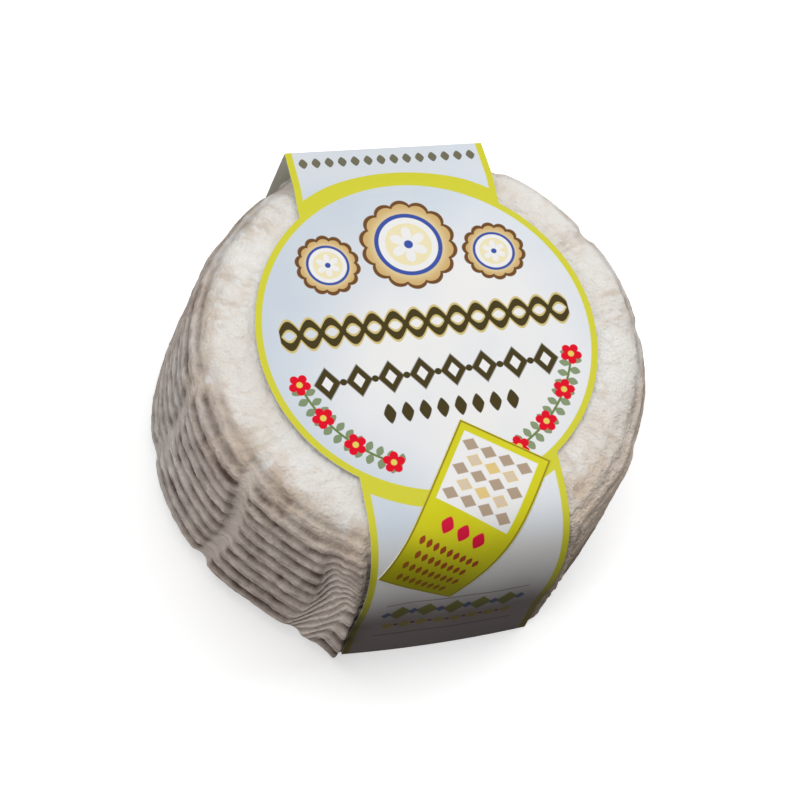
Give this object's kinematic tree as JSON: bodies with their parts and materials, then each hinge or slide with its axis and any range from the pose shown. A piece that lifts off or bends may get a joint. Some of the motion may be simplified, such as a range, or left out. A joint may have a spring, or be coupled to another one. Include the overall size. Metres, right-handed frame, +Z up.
{
  "type": "fresh goat cheese",
  "caption": "Small white-mould goat's cheese wheel with pleated, ridged sides, in a printed paper band with a round top panel and a sticker",
  "frame": {"origin": "on the underside of the paper band, below the middle of the cheese, at the height the cheese rests", "axes": "+Z up, the band runs along Y, and the front of the band, with the sticker, faces -Y"},
  "size_m": [0.1301, 0.1284, 0.059],
  "materials": {
    "rind": "dry cream-white mould rind, matt, greyer in the ridges' valleys",
    "band_paper": "satin coated paper, pale blue and white print with lime borders",
    "sticker_paper": "satin lime sticker paper"
  },
  "bodies": {
    "root": {"cheese": "rind", "band": "band_paper", "sticker": "sticker_paper"}
  },
  "joints": []
}
